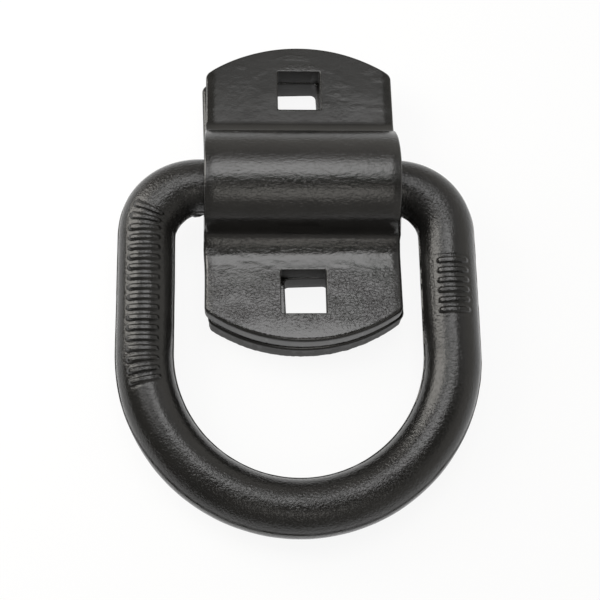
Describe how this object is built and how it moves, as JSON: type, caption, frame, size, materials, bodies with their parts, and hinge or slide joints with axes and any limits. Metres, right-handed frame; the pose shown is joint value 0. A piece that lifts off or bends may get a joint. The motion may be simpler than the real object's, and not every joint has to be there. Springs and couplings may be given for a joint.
{
  "type": "bolt-on d ring tie down",
  "caption": "Forged D ring swinging under a humped saddle plate, with a flat back plate and square bolt holes, for lashing loads to a trailer or truck bed.",
  "frame": {"origin": "on the back plate's rear face, below the middle of the saddle plate", "axes": "+Z away from the surface it is bolted to; +Y along the bracket, away from the round end of the ring as it lies; +X along the ring's straight bar"},
  "size_m": [0.0818, 0.1183, 0.0256],
  "materials": {
    "plate_paint": "satin black paint over pressed steel",
    "ring_paint": "satin black paint over forged steel"
  },
  "bodies": {
    "bracket": {"back_plate": "plate_paint", "saddle_plate": "plate_paint"},
    "ring": {"d_ring": "ring_paint"}
  },
  "joints": [
    {"name": "ring_swing", "type": "hinge", "parent": "bracket", "child": "ring", "pos_m": [-0.0012, -0.0004, 0.01285], "axis": [-1, 0, 0], "range_deg": [0, 189.9]}
  ]
}
